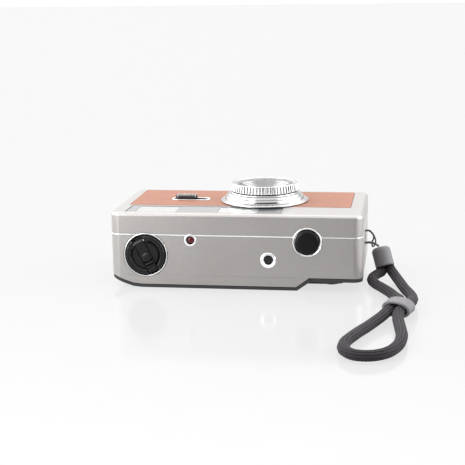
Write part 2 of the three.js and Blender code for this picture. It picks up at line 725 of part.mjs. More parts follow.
piece("sprocket_roller", sprocketRoller(), "black");
const releaseButton = join(
  barY(ROLLER_X, ROLLER_Z, 1.95, 29.9, 30.9, 20),
  barY(ROLLER_X, ROLLER_Z, 0.95, 18.5, 30.4, 12),
);
piece("rewind_release_button", releaseButton, "steel");

// ---- back-door fittings ----
piece("pressure_plate", prismZ(roundedRect(-8, 27, -12, 20, 2), 4.75, 5.65, 4), "steel");
const leafLine = [[-6, 2.8], [-2, 2.8], [9.5, 3.6], [21, 2.8], [25, 2.8]];
const leaf = outline([...leafLine, ...leafLine.map(([x, z]) => [x, z + 0.3]).reverse()]);
piece("pressure_spring", prismY(leaf, 1, 7), "spring");
piece("door_latch", prismZ(roundedRect(-57.9, -56.7, -5, 2.6, 0.4), 10, 16, 3), "black");

// ---- flash and its supply ----
function flashReflector() {
  const shell = box(-45.3, -29.8, -25.3, -15.5, 29.7, 33.5);
  const trough = solid(
    new THREE.CylinderGeometry(4.4, 2.2, 4, 4, 1)
      .rotateY(Math.PI / 4)
      .rotateX(Math.PI / 2)
      .scale(2.36, 1.45, 1)
      .translate(-37.55, -20.4, 32.2),
  );
  return cut(shell, trough);
}
piece("flash_reflector", flashReflector(), "bright");
piece("flash_tube", barX(-20.4, 31.7, 0.6, -41.3, -33.8, 12), "glass");
piece("flash_board", box(-26.8, -3, -13.6, 26, 24.2, 25.6), "green");
piece("flash_capacitor", barY(-8, 15, 4.3, -12, 20, 24), "black");

function batteryCradle() {
  return cut(
    box(CELL_X - 6.3, CELL_X + 6.3, -21.2, 28.8, 8.3, 19),
    barY(CELL_X, CELL_Z, 5.5, -20.2, FAR, 28),
    box(CELL_X - 5.5, CELL_X + 5.5, -20.2, FAR, CELL_Z, FAR),
  );
}
function batteryCell() {
  return join(barY(CELL_X, CELL_Z, 5.2, -15.4, 28.4, 28), barY(CELL_X, CELL_Z, 1.9, -16.2, -15, 16));
}
function batteryDoor() {
  const plate = box(CELL_X - 6.4, CELL_X + 6.4, 29.75, 31, 9.7, 21.1);
  return join(plate, barX(30.2, 9.75, 0.8, CELL_X - 6.4, CELL_X + 6.4, 16));
}
piece("battery_cradle", batteryCradle(), "inside");
piece("battery_cell", batteryCell(), "cell");
piece("battery_spring", wire(new CoilY(CELL_X, CELL_Z, 3.4, -19.5, -17, 2.5), 0.3, 30), "spring");
piece("battery_door", batteryDoor(), "silver");

function switchKnob() {
  const cap = slotZ(-33.8, -23.1, SWITCH_Y, 2, 35.7, 37);
  const ribs = [];
  for (let i = 0; i < 7; i++) {
    const x = -32.6 + 1.4 * i;
    ribs.push(box(x, x + 0.7, SWITCH_Y - 1.6, SWITCH_Y + 1.6, 36.5, 37.4));
  }
  return join(
    cap,
    ...ribs,
    box(-32, -25, SWITCH_Y - 1.2, SWITCH_Y + 1.2, 31.5, 36),
    box(-33, -24, SWITCH_Y - 3.4, SWITCH_Y + 3.4, 31.2, 32.6),
  );
}
piece("flash_switch_knob", switchKnob(), "black");
const switchTrim = cut(
  slotZ(-35.6, -16.7, SWITCH_Y, 3.1, 34.8, 35.4),
  slotZ(-34.9, -17.4, SWITCH_Y, 2.4, 0, FAR),
);
piece("flash_switch_trim", switchTrim, "bright");

SCREW_PLACES.forEach(([x, z], i) => {
  const screw = join(barY(x, z, 1.55, 30.45, 30.95, 16), barY(x, z, 0.6, 28.4, 30.6, 10));
  piece("case_screw_" + (i + 1), cut(screw, box(x - 1.1, x + 1.1, 30.75, FAR, z - 0.2, z + 0.2)), "steel");
});

// ---- wrist strap ----
const CORD_D = 4.6;
const THREAD_D = 0.8;
const FERRULE_TOP = new THREE.Vector3(65, -2, 14.4);
const FERRULE_END = new THREE.Vector3(67.4, -4.9, 6.4);
const FERRULE_R = 4.4;

const ferruleLength = FERRULE_TOP.distanceTo(FERRULE_END);
const ferrule = new THREE.Group();
ferrule.position.copy(FERRULE_TOP);
ferrule.quaternion.setFromUnitVectors(
  new THREE.Vector3(0, 0, -1),
  FERRULE_END.clone().sub(FERRULE_TOP).normalize(),
);
camera.add(ferrule);
const ferruleProfile = [
  [0, 0],
  [2.9, -0.15],
  [4.1, -0.8],
  [FERRULE_R, -2],
  [FERRULE_R, -ferruleLength],
  [0, -ferruleLength],
];
piece("strap_ferrule", turnedZ(0, 0, ferruleProfile, 28), "ferrule", ferrule);

// The cord leaves the ferrule beside its own other end, and runs once round the loop.
const WRIST_CORD_ROUTE = [
  [69.9, -5.2, 5],
  [71, -7.9, 4],
  [72.4, -12.2, 3.2],
  [74.5, -20.5, 2.6],
  [76.9, -32, 2.5],
  [79.2, -41.5, 2.7],
  [80.2, -48.5, 3.1],
  [80.4, -55, 3.8],
  [79.8, -61, 4.4],
  [78.5, -66.2, 4.7],
  [75.1, -73.4, 3.6],
  [74.6, -79.5, 2.9],
  [75.1, -86, 2.45],
  [75.8, -94, 2.4],
  [76.4, -104, 2.4],
  [75.2, -115.5, 2.4],
  [71.4, -125, 2.4],
  [65.5, -129.6, 2.4],
  [59.4, -129.3, 2.4],
  [55.2, -124, 2.4],
  [54.9, -115, 2.4],
  [58, -104, 2.4],
  [63, -91.5, 2.5],
  [68, -79, 3],
  [70.7, -71.4, 3.6],
  [74.1, -64.2, 4.7],
  [75, -59, 4.5],
  [74.5, -54.5, 3.9],
  [73, -48.8, 3.2],
  [70.4, -39.5, 2.6],
  [66.4, -30, 2.4],
  [63.2, -23.3, 2.4],
  [61.9, -17, 2.5],
  [62.9, -11.6, 3],
  [64.6, -8.3, 3.3],
  [66, -6.1, 3.8],
];
function tube(route, r, steps, sides) {
  const curve = new THREE.CatmullRomCurve3(route.map((p) => new THREE.Vector3(...p)), false, "centripetal");
  return wire(curve, r, steps, sides);
}
piece("wrist_cord", tube(WRIST_CORD_ROUTE, CORD_D / 2, 70, 8), "cord");

// The thin thread leaves the ferrule, passes behind the lug's bar, goes round its own two
// strands and back behind the bar, and returns to the ferrule.
const THREAD_ROUTE = [
  [64.4, -2.7, 15],
  [62.6, -2, 15.9],
  [60.3, -1.2, 16.3],
  [58, -0.85, 16.1],
  [56, -0.85, 15.9],
  [55, -0.8, 17.1],
  [54.95, -0.8, 18.4],
  [55.1, -0.8, 19.8],
  [56.2, -0.85, 20.9],
  [57.9, -1, 21.9],
  [59.6, -1.3, 22.4],
  [61.4, -2, 21.1],
  [62.6, -2.9, 19],
  [62.9, -3.3, 17.1],
  [62.3, -3.1, 15.5],
  [61.5, -1.7, 14.7],
  [61.2, 0, 14.9],
  [61.1, 1.05, 16.2],
  [61.7, 0.75, 17.6],
  [61.9, 0.25, 19.1],
  [60.9, 0.45, 20.8],
  [59.3, 0.9, 21.75],
  [57.5, 0.85, 21.4],
  [56.1, 0.85, 20.9],
  [55.1, 0.8, 19.8],
  [54.95, 0.8, 18.4],
  [55, 0.8, 17.1],
  [56, 0.75, 15.9],
  [58, 0.55, 16.1],
  [60.3, 0.1, 16.4],
  [62.6, -0.7, 15.9],
  [64.4, -1.3, 15],
];
piece("strap_thread", tube(THREAD_ROUTE, THREAD_D / 2, 56, 8), "black");

function strapSlider() {
  const oval = (rx, rz, y0, y1) =>
    solid(new THREE.CylinderGeometry(1, 1, y1 - y0, 28).scale(rx, 1, rz).translate(0, (y0 + y1) / 2, 0));
  return cut(oval(6.4, 3.7, -3, 3), oval(5.6, 2.9, -4, 4));
}
// The slider leans with the two strands, which drop towards the loop.
const slider = piece("strap_slider", strapSlider(), "ferrule");
slider.position.set(74.6, -68.8, 4.15);
slider.rotation.set(THREE.MathUtils.degToRad(8), 0, THREE.MathUtils.degToRad(-25), "ZXY");

export default camera;
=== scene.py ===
"""Looks of a half-frame 35 mm camera lying on its back, with its wrist strap.

+Z is the lens axis, -Y the camera's top plate and +X the end with the strap. The pieces' lengths are
written in millimetres and scaled by MM. Those of the camera view, the light and the grain are in metres.
"""

import json
import math

import bmesh
import bpy
from mathutils import Matrix, Vector, kdtree


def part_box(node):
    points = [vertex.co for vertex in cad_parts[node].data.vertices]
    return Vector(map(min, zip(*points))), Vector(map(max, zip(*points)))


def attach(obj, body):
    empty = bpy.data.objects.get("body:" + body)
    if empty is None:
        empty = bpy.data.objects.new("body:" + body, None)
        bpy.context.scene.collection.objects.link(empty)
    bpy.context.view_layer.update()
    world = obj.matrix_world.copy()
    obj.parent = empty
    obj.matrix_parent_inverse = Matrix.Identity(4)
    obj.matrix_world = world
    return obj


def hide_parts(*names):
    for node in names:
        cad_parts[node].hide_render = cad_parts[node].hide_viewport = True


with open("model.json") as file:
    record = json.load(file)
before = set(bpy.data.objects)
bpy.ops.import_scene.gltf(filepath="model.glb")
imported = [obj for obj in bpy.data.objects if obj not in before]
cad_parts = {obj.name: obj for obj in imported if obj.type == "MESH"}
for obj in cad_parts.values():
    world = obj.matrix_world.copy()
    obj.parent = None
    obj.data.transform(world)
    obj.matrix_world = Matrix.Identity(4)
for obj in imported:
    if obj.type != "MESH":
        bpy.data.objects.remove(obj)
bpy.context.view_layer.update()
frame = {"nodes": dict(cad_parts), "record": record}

MM = 0.001
RECORD = frame["record"]
BODY_OF = {n: body for body, ns in RECORD["behaviour"]["bodies"].items() for n in ns}
SLOT_OF = {s["node"]: s["material_slot"] for s in RECORD["subparts"]}


def collection_link(obj):
    bpy.context.scene.collection.objects.link(obj)
    return obj


def box_mm(node):
    lo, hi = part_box(node)
    return lo / MM, hi / MM


def centre_mm(node):
    lo, hi = box_mm(node)
    return (lo + hi) / 2


# ---- camera ----
CAMERA_AT = Vector((0.0792, -0.5573, 0.1417))
CAMERA_LOOK = Vector((-0.147, 0.9663, -0.2113)).normalized()
CAMERA_ROLL = math.radians(0.82)
CAMERA_LENS = 92.9
SENSOR_WIDTH = 36


def make_camera():
    """The view from in front of the top plate and a little above it."""
    right = CAMERA_LOOK.cross(Vector((0, 0, 1))).normalized()
    up = right.cross(CAMERA_LOOK)
    rolled_right = math.cos(CAMERA_ROLL) * right - math.sin(CAMERA_ROLL) * up
    rolled_up = math.sin(CAMERA_ROLL) * right + math.cos(CAMERA_ROLL) * up
    data = bpy.data.cameras.new("view")
    data.lens = CAMERA_LENS
    data.sensor_width = SENSOR_WIDTH
    data.clip_start = 0.01
    camera = collection_link(bpy.data.objects.new("view", data))
    turn = Matrix((rolled_right, rolled_up, -CAMERA_LOOK)).transposed()
    camera.matrix_world = Matrix.Translation(CAMERA_AT) @ turn.to_4x4()
    bpy.context.scene.camera = camera


make_camera()


# ---- materials ----
# The grain's fine noise sets this share of the colour, and a broad noise of its own scale the rest.
FINE_SHARE = 0.65
BROAD_GRAIN = 60.0
NOISE_LOW = 0.3
NOISE_HIGH = 0.7
MATERIALS = {}


def noise_source(nodes, links, coords, scale, stretch, detail=4.0):
    mapping = nodes.new("ShaderNodeMapping")
    mapping.inputs["Scale"].default_value = stretch
    links.new(coords, mapping.inputs["Vector"])
    noise = nodes.new("ShaderNodeTexNoise")
    noise.inputs["Scale"].default_value = scale
    noise.inputs["Detail"].default_value = detail
    links.new(mapping.outputs["Vector"], noise.inputs["Vector"])
    return noise.outputs["Fac"]


def ranged(nodes, links, value, low, high):
    """Spreads the middle of a noise, where most of it is, over the whole range."""
    node = nodes.new("ShaderNodeMapRange")
    node.inputs["From Min"].default_value = NOISE_LOW
    node.inputs["From Max"].default_value = NOISE_HIGH
    node.inputs["To Min"].default_value = low
    node.inputs["To Max"].default_value = high
    links.new(value, node.inputs["Value"])
    return node.outputs["Result"]


def surface(
    name,
    dark,
    light,
    metallic=0.0,
    rough=(0.4, 0.5),
    grain=900.0,
    stretch=(1, 1, 1),
    bump=0.00002,
    cells=None,
    **sockets,
):
    """Adds a Principled material whose colour, roughness and relief all follow one grain.

    dark and light are the ends of its colour, and rough of its roughness. grain is the scale of the
    noise, stretch its share along each axis, and bump the height of the relief in metres. cells is the
    scale of a Voronoi relief that replaces the noise relief. sockets are other inputs of the shader."""
    material = bpy.data.materials.new(name)
    material.use_nodes = True
    nodes, links = material.node_tree.nodes, material.node_tree.links
    shader = nodes["Principled BSDF"]
    coords = nodes.new("ShaderNodeTexCoord").outputs["Object"]
    fine = noise_source(nodes, links, coords, grain, stretch)
    broad = noise_source(nodes, links, coords, BROAD_GRAIN, (1, 1, 1), 2.0)
    mix = nodes.new("ShaderNodeMix")
    mix.data_type = "RGBA"
    mix.inputs["A"].default_value = (*dark, 1)
    mix.inputs["B"].default_value = (*light, 1)
    both = nodes.new("ShaderNodeMath")
    both.operation = "MULTIPLY_ADD"
    both.inputs[1].default_value = FINE_SHARE
    links.new(fine, both.inputs[0])
    share = nodes.new("ShaderNodeMath")
    share.operation = "MULTIPLY"
    share.inputs[1].default_value = 1 - FINE_SHARE
    links.new(broad, share.inputs[0])
    links.new(share.outputs[0], both.inputs[2])
    links.new(ranged(nodes, links, both.outputs[0], 0, 1), mix.inputs["Factor"])
    links.new(mix.outputs["Result"], shader.inputs["Base Color"])
    links.new(ranged(nodes, links, fine, *rough), shader.inputs["Roughness"])
    shader.inputs["Metallic"].default_value = metallic
    height = fine
    if cells:
        voronoi = nodes.new("ShaderNodeTexVoronoi")
        voronoi.inputs["Scale"].default_value = cells
        links.new(coords, voronoi.inputs["Vector"])
        height = voronoi.outputs["Distance"]
    relief = nodes.new("ShaderNodeBump")
    relief.inputs["Strength"].default_value = 1.0
    relief.inputs["Distance"].default_value = bump
    links.new(height, relief.inputs["Height"])
    links.new(relief.outputs["Normal"], shader.inputs["Normal"])
    for socket, value in sockets.items():
        shader.inputs[socket.replace("_", " ")].default_value = value
    MATERIALS[name] = material
    return material


surface(
    "silver_paint",
    (0.306, 0.293, 0.285),
    (0.345, 0.331, 0.324),
    metallic=0.8,
    rough=(0.34, 0.4),
    grain=1600,
    bump=0.000005,
)
surface("inner_black", (0.012,) * 3, (0.022,) * 3, rough=(0.75, 0.9), bump=0.00003)
surface(
    "tan_leatherette",
    (0.172, 0.067, 0.037),
    (0.228, 0.094, 0.056),
    rough=(0.5, 0.66),
    grain=700,
    cells=1500,
    bump=0.00006,
    Specular_IOR_Level=0.28,
)
surface(
    "clear_window",
    (0.065, 0.065, 0.068),
    (0.09, 0.09, 0.093),
    rough=(0.04, 0.07),
    bump=0.000001,
    Coat_Weight=0.6,
    Coat_Roughness=0.03,
)
surface(
    "frosted_window",
    (0.2, 0.2, 0.195),
    (0.24, 0.24, 0.235),
    rough=(0.25, 0.35),
    grain=400,
    stretch=(12, 0.3, 1),
    bump=0.00004,
    Coat_Weight=0.5,
    Coat_Roughness=0.04,
)
surface(
    "black_plastic",
    (0.009, 0.009, 0.01),
    (0.016, 0.016, 0.018),
    rough=(0.3, 0.42),
    grain=2600,
    bump=0.000012,
)
surface("thread", (0.02,) * 3, (0.05,) * 3, rough=(0.7, 0.85), grain=3000, Sheen_Weight=0.3)
surface(
    "steel",
    (0.5, 0.5, 0.51),
    (0.66, 0.66, 0.67),
    metallic=1,
    rough=(0.22, 0.34),
    stretch=(1, 12, 1),
    bump=0.000004,
)
surface(
    "bright_trim",
    (0.88, 0.88, 0.89),
    (0.96, 0.96, 0.97),
    metallic=1,
    rough=(0.14, 0.2),
    grain=1400,
    stretch=(1, 1, 8),
    bump=0.000002,
)
surface(
    "brass",
    (0.62, 0.45, 0.2),
    (0.76, 0.58, 0.3),
    metallic=1,
    rough=(0.28, 0.4),
    bump=0.000006,
)
surface(
    "red_lens",
    (0.03, 0.002, 0.003),
    (0.075, 0.006, 0.008),
    rough=(0.05, 0.1),
    bump=0.000002,
    Specular_IOR_Level=0.35,
)
surface("white_dial", (0.78,) * 3, (0.86,) * 3, rough=(0.5, 0.6))
surface(
    "spring_steel",
    (0.36,) * 3,
    (0.5,) * 3,
    metallic=1,
    rough=(0.3, 0.42),
    bump=0.000004,
)
surface(
    "circuit_board",
    (0.008, 0.04, 0.016),
    (0.016, 0.075, 0.03),
    rough=(0.35, 0.5),
    grain=300,
)
surface("cell_wrap", (0.5, 0.3, 0.07), (0.66, 0.44, 0.14), metallic=0.6, rough=(0.3, 0.4))
surface(
    "strap_fitting",
    (0.085, 0.082, 0.086),
    (0.12, 0.115, 0.121),
    rough=(0.55, 0.7),
    grain=2400,
    bump=0.00003,
)
surface(
    "strap_cord",
    (0.006, 0.005, 0.0065),
    (0.03, 0.026, 0.03),
    rough=(0.8, 0.95),
    grain=2200,
    bump=0.00012,
    Specular_IOR_Level=0.15,
    Sheen_Weight=0.05,
    Sheen_Roughness=0.5,
)
surface(
    "lens_silver",
    (0.34, 0.34, 0.345),
    (0.4, 0.4, 0.405),
    metallic=1,
    rough=(0.16, 0.22),
    grain=1400,
    stretch=(1, 1, 8),
    bump=0.000002,
)
surface(
    "lens_inner",
    (0.19, 0.19, 0.195),
    (0.24, 0.24, 0.245),
    metallic=1,
    rough=(0.14, 0.2),
    grain=1400,
    bump=0.000002,
)
surface(
    "lens_grip",
    (0.4, 0.4, 0.405),
    (0.48, 0.48, 0.485),
    metallic=1,
    rough=(0.16, 0.22),
    grain=1400,
    bump=0.000002,
)
surface(
    "dark_knob",
    (0.004, 0.004, 0.0045),
    (0.009, 0.009, 0.01),
    rough=(0.12, 0.2),
    grain=2600,
    bump=0.000006,
    Specular_IOR_Level=0.22,
)
surface(
    "dark_button",
    (0.003, 0.003, 0.0035),
    (0.006, 0.006, 0.0065),
    rough=(0.24, 0.34),
    grain=2600,
    bump=0.000008,
    Specular_IOR_Level=0.12,
)
surface(
    "pale_window",
    (0.22, 0.22, 0.22),
    (0.27, 0.27, 0.265),
    rough=(0.04, 0.08),
    bump=0.000001,
    Coat_Weight=0.5,
)
# Pale grey for the crests of the flash switch's ribs: a painted highlight, not the ribs' own colour.
surface("rib_painted_highlight", (0.26, 0.26, 0.262), (0.36, 0.36, 0.362), rough=(0.2, 0.3), grain=2600)
surface(
    "dark_glass",
    (0.008, 0.007, 0.007),
    (0.014, 0.012, 0.012),
    rough=(0.03, 0.06),
    bump=0.0000005,
    Specular_IOR_Level=0.3,
)
surface(
    "lens_glass",
    (0.02, 0.022, 0.03),
    (0.035, 0.035, 0.05),
    rough=(0.02, 0.04),
    bump=0.0000005,
    Coat_Weight=1.0,
    Coat_Roughness=0.02,
    Coat_Tint=(0.72, 0.8, 1.0, 1.0),
)


# ---- mesh tools ----
# Vertices this close are joined, faces this close to one plane become one, and an edge with a larger
# turn than SHARP_ANGLE is rounded.
WELD = 0.002
FLAT_ANGLE = math.radians(0.7)
SHARP_ANGLE = math.radians(32)
EDGE_SEGMENTS = 2
# On a sharp corner an edge's rounding can run out into a spike. A vertex that it leaves farther from
# the old corners than this many times its width goes back to the nearest one.
SPIKE = 2.6


def new_object(name, verts, faces):
    mesh = bpy.data.meshes.new(name)
    mesh.from_pydata([tuple(v) for v in verts], [], faces)
    mesh.update()
    return collection_link(bpy.data.objects.new(name, mesh))


def bake_modifiers(obj):
    bpy.context.view_layer.update()
    shown = obj.evaluated_get(bpy.context.evaluated_depsgraph_get())
    mesh = bpy.data.meshes.new_from_object(shown)
    old = obj.data
    obj.modifiers.clear()
    obj.data = mesh
    bpy.data.meshes.remove(old)
    return obj


def soften(obj, width):
    """Rounds every sharp edge, and keeps flat faces flat in the shading."""
    bm = bmesh.new()
    bm.from_mesh(obj.data)
    bmesh.ops.remove_doubles(bm, verts=bm.verts, dist=WELD * MM)
    bmesh.ops.dissolve_limit(bm, angle_limit=FLAT_ANGLE, verts=bm.verts, edges=bm.edges)
    bmesh.ops.recalc_face_normals(bm, faces=bm.faces)
    for face in bm.faces:
        face.smooth = True
    bm.to_mesh(obj.data)
    bm.free()
    if width:
        corners = kdtree.KDTree(len(obj.data.vertices))
        for v in obj.data.vertices:
            corners.insert(v.co, v.index)
        corners.balance()
        bevel = obj.modifiers.new("edges", "BEVEL")
        bevel.width = width * MM
        bevel.segments = EDGE_SEGMENTS
        bevel.limit_method = "ANGLE"
        bevel.angle_limit = SHARP_ANGLE
        bevel.use_clamp_overlap = False
        bake_modifiers(obj)
        for v in obj.data.vertices:
            corner, _, distance = corners.find(v.co)
            if distance > SPIKE * width * MM:
                v.co = corner
    normals = obj.modifiers.new("flats", "WEIGHTED_NORMAL")
    normals.keep_sharp = True
    return bake_modifiers(obj)


def stand_for(obj, node, material=None):
    """The piece is shown in place of the CAD node, moves with its body and takes its finish."""
    obj.data.materials.clear()
    obj.data.materials.append(MATERIALS[material or SLOT_OF[node]])
    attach(obj, BODY_OF[node])
    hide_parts(node)
    return obj


def stand_beside(obj, node, material):
    """The piece is added next to the CAD node and moves with its body. It replaces nothing."""
    obj.data.materials.clear()
    obj.data.materials.append(MATERIALS[material])
    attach(obj, BODY_OF[node])


def copy_of(node):
    source = frame["nodes"][node].data
    verts = [v.co.copy() for v in source.vertices]
    return new_object(node + "_fine", verts, [tuple(p.vertices) for p in source.polygons])


def refined(node, width, material=None):
    return stand_for(soften(copy_of(node), width), node, material)


def prism(name, outline, z0, z1):
    """A solid between two heights. The outline runs counterclockwise."""
    n = len(outline)
    verts = [(x * MM, y * MM, z * MM) for z in (z0, z1) for x, y in outline]
    faces = [tuple(reversed(range(n))), tuple(range(n, 2 * n))]
    faces += [(i, (i + 1) % n, n + (i + 1) % n, n + i) for i in range(n)]
    return new_object(name, verts, faces)


def block(name, lo, hi):
    (x0, y0, z0), (x1, y1, z1) = lo, hi
    return prism(name, [(x0, y0), (x1, y0), (x1, y1), (x0, y1)], z0, z1)


def rounded_rect(x0, x1, y0, y1, r, steps):
    corners = [(x1 - r, y0 + r, -90), (x1 - r, y1 - r, 0), (x0 + r, y1 - r, 90), (x0 + r, y0 + r, 180)]
    points = []
    for cx, cy, start in corners:
        for i in range(steps + 1):
            a = math.radians(start + 90 * i / steps)
            points.append((cx + r * math.cos(a), cy + r * math.sin(a)))
    return points


def lathe(name, profile, centre, axis="Z", sides=128, radius=None):
    """A turned piece. profile is [radius, height] points; radius(r, h, angle) may shape the rim."""
    radius = radius or (lambda r, h, a: r)
    closed = profile[0] == profile[-1]
    points = profile[:-1] if closed else profile
    verts, rings = [], []
    for r, h in points:
        count = 1 if r == 0 else sides
        rings.append(list(range(len(verts), len(verts) + count)))
        for i in range(count):
            a = 2 * math.pi * i / sides
            rr = radius(r, h, a) if r else 0
            u, v = rr * math.cos(a), rr * math.sin(a)
            place = (centre.x + u, centre.y + v, h) if axis == "Z" else (centre.x + u, h, centre.z + v)
            verts.append(Vector(place) * MM)
    faces = []
    pairs = list(zip(rings, rings[1:] + rings[:1])) if closed else list(zip(rings, rings[1:]))
    for a, b in pairs:
        for i in range(sides):
            j = (i + 1) % sides
            corners = [a[i % len(a)], a[j % len(a)], b[j % len(b)], b[i % len(b)]]
            face = tuple(dict.fromkeys(corners))
            if len(face) > 2:
                faces.append(face)
    return new_object(name, verts, faces)


def turned(node, profile, centre, width, axis="Z", sides=128, radius=None, material=None):
    """A turned piece that is shown in place of the CAD node."""
    piece = lathe(node + "_fine", profile, centre, axis, sides, radius)
    return stand_for(soften(piece, width), node, material)


def rod(name, radius, ends, centre, axis, sides):
    """A plain round bar between two heights along the axis."""
    start, end = ends
    return lathe(name, [(0, start), (radius, start), (radius, end), (0, end)], centre, axis, sides)


def combine(obj, others, operation):
    """Joins or cuts with the other objects, which are then removed."""
    for other in others:
        step = obj.modifiers.new("cut", "BOOLEAN")
        step.operation = operation
        step.solver = "EXACT"
        step.object = other
    bake_modifiers(obj)
    for other in others:
        bpy.data.objects.remove(other)
    return obj


# ---- cords ----
def smooth_route(points, count):
    """Evenly spaced points along the centripetal Catmull-Rom curve through the given ones."""
    p = [Vector(q) for q in points]
    p = [2 * p[0] - p[1]] + p + [2 * p[-1] - p[-2]]
    pieces = 24
    dense = []
    for a, b, c, d in zip(p, p[1:], p[2:], p[3:]):
        t0, t1, t2 = ((v - u).length ** 0.5 for u, v in ((a, b), (b, c), (c, d)))
        m1 = ((b - a) / t0 - (c - a) / (t0 + t1) + (c - b) / t1) * t1
        m2 = ((c - b) / t1 - (d - b) / (t1 + t2) + (d - c) / t2) * t1
        for i in range(pieces):
            t = i / pieces
            h = (2 * t**3 - 3 * t**2 + 1, t**3 - 2 * t**2 + t, 3 * t**2 - 2 * t**3, t**3 - t**2)
            dense.append(h[0] * b + h[1] * m1 + h[2] * c + h[3] * m2)
    dense.append(p[-2])
    lengths = [0.0]
    for a, b in zip(dense, dense[1:]):
        lengths.append(lengths[-1] + (b - a).length)
    route, k = [], 0
    for i in range(count):
        s = lengths[-1] * i / (count - 1)
        while k < len(dense) - 2 and lengths[k + 1] < s:
            k += 1
        span = lengths[k + 1] - lengths[k]
        route.append(dense[k].lerp(dense[k + 1], (s - lengths[k]) / span))
    return route, lengths[-1]


def tube(name, route, sides, section):
    """A tube whose section(angle, distance) gives its [across, up] place about the route."""
    verts, travelled = [], 0.0
    for i, at in enumerate(route):
        ahead = route[min(i + 1, len(route) - 1)] - route[max(i - 1, 0)]
        along = ahead.normalized()
        across = along.cross(Vector((0, 0, 1))).normalized()
        up = across.cross(along)
        if i:
            travelled += (at - route[i - 1]).length
        for j in range(sides):
            u, v = section(2 * math.pi * j / sides, travelled)
            verts.append((at + u * across + v * up) * MM)
    faces = []
    for i in range(len(route) - 1):
        for j in range(sides):
            k = (j + 1) % sides
            faces.append((i * sides + j, i * sides + k, (i + 1) * sides + k, (i + 1) * sides + j))
    last = (len(route) - 1) * sides
    faces += [tuple(reversed(range(sides))), tuple(range(last, last + sides))]
    obj = new_object(name, verts, faces)
    return soften(obj, 0)


CORD_D = 4.6
CORD_RIBS = 11
CORD_STEPS = 660
CORD_SIDES = 66
THREAD_D = 0.8
THREAD_STEPS = 420
THREAD_SIDES = 16
# Radians that the braid and the thread's plies turn in each millimetre.
BRAID_TURN = 4.2
PLY_TURN = 2.2
FERRULE_TOP = Vector((65, -2, 14.4))
FERRULE_END = Vector((67.4, -4.9, 6.4))
FERRULE_AXIS = (FERRULE_END - FERRULE_TOP).normalized()
FERRULE_R = 4.4
FERRULE_WALL = 0.9
FERRULE_SHOULDER = 2
# How far each strand's end is from the ferrule's axis.
STRAND_OFFSET = 2.1
SLIDER_AT = Vector((74.6, -68.8, 4.15))
SLIDER_LEAN = math.radians(8)
SLIDER_TURN = math.radians(-25)
WRIST_CORD_ROUTE = [
    (69.9, -5.2, 5), (71, -7.9, 4), (72.4, -12.2, 3.2), (74.5, -20.5, 2.6),
    (76.9, -32, 2.5), (79.2, -41.5, 2.7), (80.2, -48.5, 3.1), (80.4, -55, 3.8),
    (79.8, -61, 4.4), (78.5, -66.2, 4.7), (75.1, -73.4, 3.6), (74.6, -79.5, 2.9),
    (75.1, -86, 2.45), (75.8, -94, 2.4), (76.4, -104, 2.4), (75.2, -115.5, 2.4),
    (71.4, -125, 2.4), (65.5, -129.6, 2.4), (59.4, -129.3, 2.4), (55.2, -124, 2.4),
    (54.9, -115, 2.4), (58, -104, 2.4), (63, -91.5, 2.5), (68, -79, 3),
    (70.7, -71.4, 3.6), (74.1, -64.2, 4.7), (75, -59, 4.5), (74.5, -54.5, 3.9),
    (73, -48.8, 3.2), (70.4, -39.5, 2.6), (66.4, -30, 2.4), (63.2, -23.3, 2.4),
    (61.9, -17, 2.5), (62.9, -11.6, 3), (64.6, -8.3, 3.3), (66, -6.1, 3.8),
]
THREAD_ROUTE = [
    (64.4, -2.7, 15), (62.6, -2, 15.9), (60.3, -1.2, 16.3), (58, -0.85, 16.1),
    (56, -0.85, 15.9), (55, -0.8, 17.1), (54.95, -0.8, 18.4), (55.1, -0.8, 19.8),
    (56.2, -0.85, 20.9), (57.9, -1, 21.9), (59.6, -1.3, 22.4), (61.4, -2, 21.1),
    (62.6, -2.9, 19), (62.9, -3.3, 17.1), (62.3, -3.1, 15.5), (61.5, -1.7, 14.7),
    (61.2, 0, 14.9), (61.1, 1.05, 16.2), (61.7, 0.75, 17.6), (61.9, 0.25, 19.1),
    (60.9, 0.45, 20.8), (59.3, 0.9, 21.75), (57.5, 0.85, 21.4), (56.1, 0.85, 20.9),
    (55.1, 0.8, 19.8), (54.95, 0.8, 18.4), (55, 0.8, 17.1), (56, 0.75, 15.9),
    (58, 0.55, 16.1), (60.3, 0.1, 16.4), (62.6, -0.7, 15.9), (64.4, -1.3, 15),
]


def cord_section(angle, distance):
    """A soft oval with lengthwise woven ribs, which the braid crosses in fine steps."""
    rib = abs(math.sin(CORD_RIBS * angle / 2)) ** 0.7
    braid = 0.5 + 0.5 * math.sin(CORD_RIBS * angle + distance * BRAID_TURN)
    r = CORD_D / 2 * (0.82 + 0.195 * rib - 0.03 * braid)
    return 1.06 * r * math.cos(angle), 0.95 * r * math.sin(angle)


def thread_section(angle, distance):
    """Two plies, twisted."""
    r = THREAD_D / 2 * (0.72 + 0.28 * abs(math.cos(angle - distance * PLY_TURN)))
    return r * math.cos(angle), r * math.sin(angle)


across = FERRULE_AXIS.cross(Vector((0, 1, 0))).normalized() * STRAND_OFFSET
cord_start, cord_end = (FERRULE_END + 0.2 * FERRULE_AXIS + side * across for side in (1, -1))
cord_path, cord_length = smooth_route([cord_start, *WRIST_CORD_ROUTE, cord_end], CORD_STEPS)
cord_tube = tube("wrist_cord_fine", cord_path, CORD_SIDES, cord_section)
wrist_cord = stand_for(cord_tube, "wrist_cord")
thread_path, thread_length = smooth_route(THREAD_ROUTE, THREAD_STEPS)
thread_tube = tube("strap_thread_fine", thread_path, THREAD_SIDES, thread_section)
strap_thread = stand_for(thread_tube, "strap_thread")


